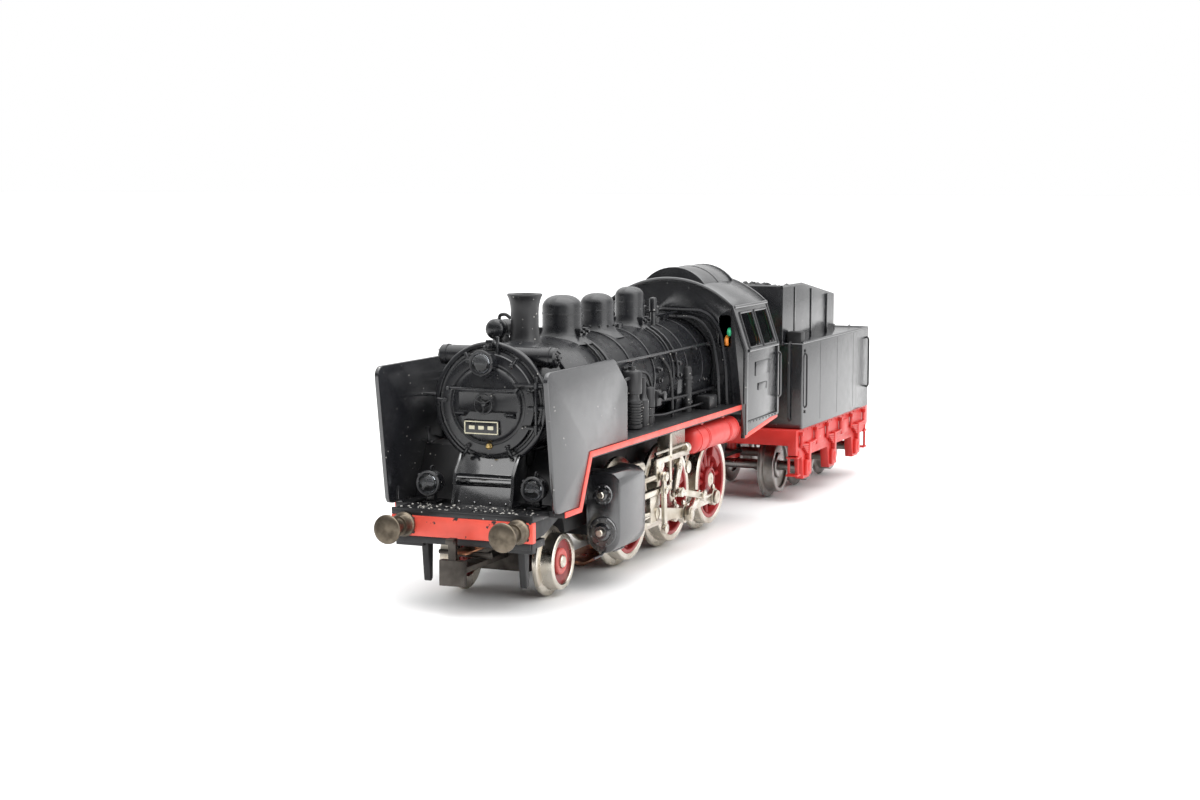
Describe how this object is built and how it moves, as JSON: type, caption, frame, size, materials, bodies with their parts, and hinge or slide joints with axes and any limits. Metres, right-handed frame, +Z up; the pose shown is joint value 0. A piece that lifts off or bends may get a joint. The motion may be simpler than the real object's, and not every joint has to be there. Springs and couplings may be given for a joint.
{
  "type": "model steam locomotive",
  "caption": "Scale model of a steam locomotive with a pony truck, coupled driving wheels, valve gear, smoke deflectors and a separate tender that swings on a drawbar.",
  "frame": {"origin": "centre of the bounding box in plan, on the plane that the wheel flanges stand on", "axes": "+X forward along the vehicle, +Y to the left of the engine, +Z up"},
  "size_m": [0.198, 0.034, 0.051],
  "materials": {
    "black_paint": "satin black enamel on the die casting, with dust in the corners",
    "red_paint": "satin signal-red enamel",
    "wheel_red": "dark red moulded wheel centre in a nickel-plated tyre",
    "nickel": "nickel-plated steel, slightly tarnished",
    "dark_metal": "blackened and tarnished steel",
    "cast_metal": "blackened zinc die casting",
    "brass": "plain brass",
    "clear_plastic": "clear moulded light guide",
    "bulb_glass": "clear bulb glass",
    "grey_plastic": "grey moulded brush plate",
    "orange_lead": "orange PVC insulation",
    "green_lead": "green PVC insulation",
    "copper": "laminations with copper windings",
    "black_plastic": "satin black moulded tender body"
  },
  "bodies": {
    "root": {"loco_frame": "cast_metal", "body_casting": "black_paint", "smokebox_front": "black_paint", "deflector_left": "black_paint", "deflector_right": "black_paint", "cylinder_left": "black_paint", "cylinder_right": "black_paint", "buffer_beam": "red_paint", "buffer_front_left": "dark_metal", "buffer_front_right": "dark_metal", "lamp_lens_left": "clear_plastic", "lamp_lens_right": "clear_plastic", "lamp_lens_top": "clear_plastic", "headlamp_bulb": "bulb_glass", "motion_bracket_left": "nickel", "motion_bracket_right": "nickel", "air_reservoir_left": "red_paint", "air_reservoir_right": "red_paint", "motor_field": "dark_metal", "brush_plate": "grey_plastic", "pony_pivot_screw": "nickel", "motor_lead_orange": "orange_lead", "motor_lead_green": "green_lead"},
    "pony_truck": {"pony_truck": "dark_metal"},
    "pony_wheels": {"pony_wheelset": "wheel_red"},
    "drivers_1": {"driver_axle_1": "nickel", "driver_wheel_left_1": "wheel_red", "driver_wheel_right_1": "wheel_red"},
    "drivers_2": {"driver_axle_2": "nickel", "driver_wheel_left_2": "wheel_red", "driver_wheel_right_2": "wheel_red", "return_crank_left": "nickel", "return_crank_right": "nickel"},
    "drivers_3": {"driver_axle_3": "nickel", "driver_wheel_left_3": "wheel_red", "driver_wheel_right_3": "wheel_red"},
    "idler": {"idler_gear": "brass"},
    "armature": {"motor_armature": "copper"},
    "pickup_shoe": {"pickup_shoe": "nickel"},
    "drawbar": {"drawbar": "dark_metal"},
    "tender": {"tender_frame": "red_paint", "tender_body": "black_plastic", "buffer_rear_left": "dark_metal", "buffer_rear_right": "dark_metal"},
    "tender_wheels_1": {"tender_wheelset_1": "wheel_red"},
    "tender_wheels_2": {"tender_wheelset_2": "wheel_red"},
    "tender_wheels_3": {"tender_wheelset_3": "wheel_red"},
    "rear_coupler": {"rear_coupler": "dark_metal"},
    "coupling_rod_left": {"coupling_rod_left": "nickel"},
    "connecting_rod_left": {"connecting_rod_left": "nickel"},
    "eccentric_rod_left": {"eccentric_rod_left": "nickel"},
    "crosshead_left": {"crosshead_left": "nickel"},
    "expansion_link_left": {"expansion_link_left": "nickel"},
    "combination_lever_left": {"combination_lever_left": "nickel"},
    "coupling_rod_right": {"coupling_rod_right": "nickel"},
    "connecting_rod_right": {"connecting_rod_right": "nickel"},
    "eccentric_rod_right": {"eccentric_rod_right": "nickel"},
    "crosshead_right": {"crosshead_right": "nickel"},
    "expansion_link_right": {"expansion_link_right": "nickel"},
    "combination_lever_right": {"combination_lever_right": "nickel"}
  },
  "joints": [
    {"name": "driver_spin", "type": "hinge", "parent": "root", "child": "drivers_2", "pos_m": [0.0248, 0, 0.0098], "axis": [0, 1, 0], "continuous": true},
    {"name": "driver_spin_1", "type": "hinge", "parent": "root", "child": "drivers_1", "pos_m": [0.046, 0, 0.0098], "axis": [0, 1, 0], "continuous": true},
    {"name": "driver_spin_3", "type": "hinge", "parent": "root", "child": "drivers_3", "pos_m": [0.0036, 0, 0.0098], "axis": [0, 1, 0], "continuous": true},
    {"name": "idler_spin", "type": "hinge", "parent": "root", "child": "idler", "pos_m": [0.00552, 0, 0.02069], "axis": [0, 1, 0], "continuous": true},
    {"name": "armature_spin", "type": "hinge", "parent": "root", "child": "armature", "pos_m": [0.00859, 0, 0.02868], "axis": [0, 1, 0], "continuous": true},
    {"name": "coupling_rod_turn_left", "type": "hinge", "parent": "drivers_2", "child": "coupling_rod_left", "pos_m": [0.02726, 0.0115, 0.0069], "axis": [0, 1, 0], "continuous": true},
    {"name": "connecting_rod_turn_left", "type": "hinge", "parent": "drivers_2", "child": "connecting_rod_left", "pos_m": [0.02726, 0.0133, 0.0069], "axis": [0, 1, 0], "continuous": true},
    {"name": "eccentric_rod_turn_left", "type": "hinge", "parent": "drivers_2", "child": "eccentric_rod_left", "pos_m": [0.0232, 0.0156, 0.0098], "axis": [0, 1, 0], "continuous": true},
    {"name": "crosshead_slide_left", "type": "slide", "parent": "root", "child": "crosshead_left", "axis": [1, 0, 0], "range_m": [-0.00604, 0.00156]},
    {"name": "link_swing_left", "type": "hinge", "parent": "root", "child": "expansion_link_left", "pos_m": [0.0332, 0.0146, 0.0165], "axis": [0, 1, 0], "range_deg": [-20, 4]},
    {"name": "lever_swing_left", "type": "hinge", "parent": "root", "child": "combination_lever_left", "pos_m": [0.044, 0.0158, 0.0161], "axis": [0, 1, 0], "range_deg": [-16, 16]},
    {"name": "coupling_rod_turn_right", "type": "hinge", "parent": "drivers_2", "child": "coupling_rod_right", "pos_m": [0.0277, -0.0115, 0.01226], "axis": [0, 1, 0], "continuous": true},
    {"name": "connecting_rod_turn_right", "type": "hinge", "parent": "drivers_2", "child": "connecting_rod_right", "pos_m": [0.0277, -0.0133, 0.01226], "axis": [0, 1, 0], "continuous": true},
    {"name": "eccentric_rod_turn_right", "type": "hinge", "parent": "drivers_2", "child": "eccentric_rod_right", "pos_m": [0.0248, -0.0156, 0.0082], "axis": [0, 1, 0], "continuous": true},
    {"name": "crosshead_slide_right", "type": "slide", "parent": "root", "child": "crosshead_right", "axis": [1, 0, 0], "range_m": [-0.00654, 0.00106]},
    {"name": "link_swing_right", "type": "hinge", "parent": "root", "child": "expansion_link_right", "pos_m": [0.0332, -0.0146, 0.0165], "axis": [0, 1, 0], "range_deg": [-12, 12]},
    {"name": "lever_swing_right", "type": "hinge", "parent": "root", "child": "combination_lever_right", "pos_m": [0.044, -0.0158, 0.0161], "axis": [0, 1, 0], "range_deg": [-16, 16]},
    {"name": "pony_swing", "type": "hinge", "parent": "root", "child": "pony_truck", "pos_m": [0.0575, 0, 0.0077], "axis": [0, 0, 1], "range_deg": [-8, 8]},
    {"name": "pony_spin", "type": "hinge", "parent": "pony_truck", "child": "pony_wheels", "pos_m": [0.0755, 0, 0.0059], "axis": [0, 1, 0], "continuous": true},
    {"name": "shoe_lift", "type": "slide", "parent": "root", "child": "pickup_shoe", "axis": [0, 0, 1], "range_m": [0, 0.0012], "stiffness_N_per_m": 120, "springref_m": -0.002},
    {"name": "drawbar_swing", "type": "hinge", "parent": "root", "child": "drawbar", "pos_m": [-0.0145, 0, 0.01], "axis": [0, 0, 1], "range_deg": [-12, 12]},
    {"name": "tender_swing", "type": "hinge", "parent": "drawbar", "child": "tender", "pos_m": [-0.0385, 0, 0.01], "axis": [0, 0, 1], "range_deg": [-12, 12]},
    {"name": "tender_spin_1", "type": "hinge", "parent": "tender", "child": "tender_wheels_1", "pos_m": [-0.041, 0, 0.00695], "axis": [0, 1, 0], "continuous": true},
    {"name": "tender_spin_2", "type": "hinge", "parent": "tender", "child": "tender_wheels_2", "pos_m": [-0.0601, 0, 0.00695], "axis": [0, 1, 0], "continuous": true},
    {"name": "tender_spin_3", "type": "hinge", "parent": "tender", "child": "tender_wheels_3", "pos_m": [-0.0792, 0, 0.00695], "axis": [0, 1, 0], "continuous": true},
    {"name": "rear_coupler_swing", "type": "hinge", "parent": "tender", "child": "rear_coupler", "pos_m": [-0.0845, 0, 0.0071], "axis": [0, 0, 1], "range_deg": [-12, 12]}
  ],
  "couplings": [
    {"joint": "driver_spin_1", "follows": "driver_spin", "ratio": 1},
    {"joint": "driver_spin_3", "follows": "driver_spin", "ratio": 1},
    {"joint": "idler_spin", "follows": "driver_spin", "ratio": -0.83333},
    {"joint": "armature_spin", "follows": "driver_spin", "ratio": 2},
    {"joint": "coupling_rod_turn_left", "follows": "driver_spin", "ratio": -1},
    {"joint": "connecting_rod_turn_left", "follows": "driver_spin", "ratio": -1},
    {"joint": "eccentric_rod_turn_left", "follows": "driver_spin", "ratio": -1},
    {"joint": "coupling_rod_turn_right", "follows": "driver_spin", "ratio": -1},
    {"joint": "connecting_rod_turn_right", "follows": "driver_spin", "ratio": -1},
    {"joint": "eccentric_rod_turn_right", "follows": "driver_spin", "ratio": -1}
  ]
}
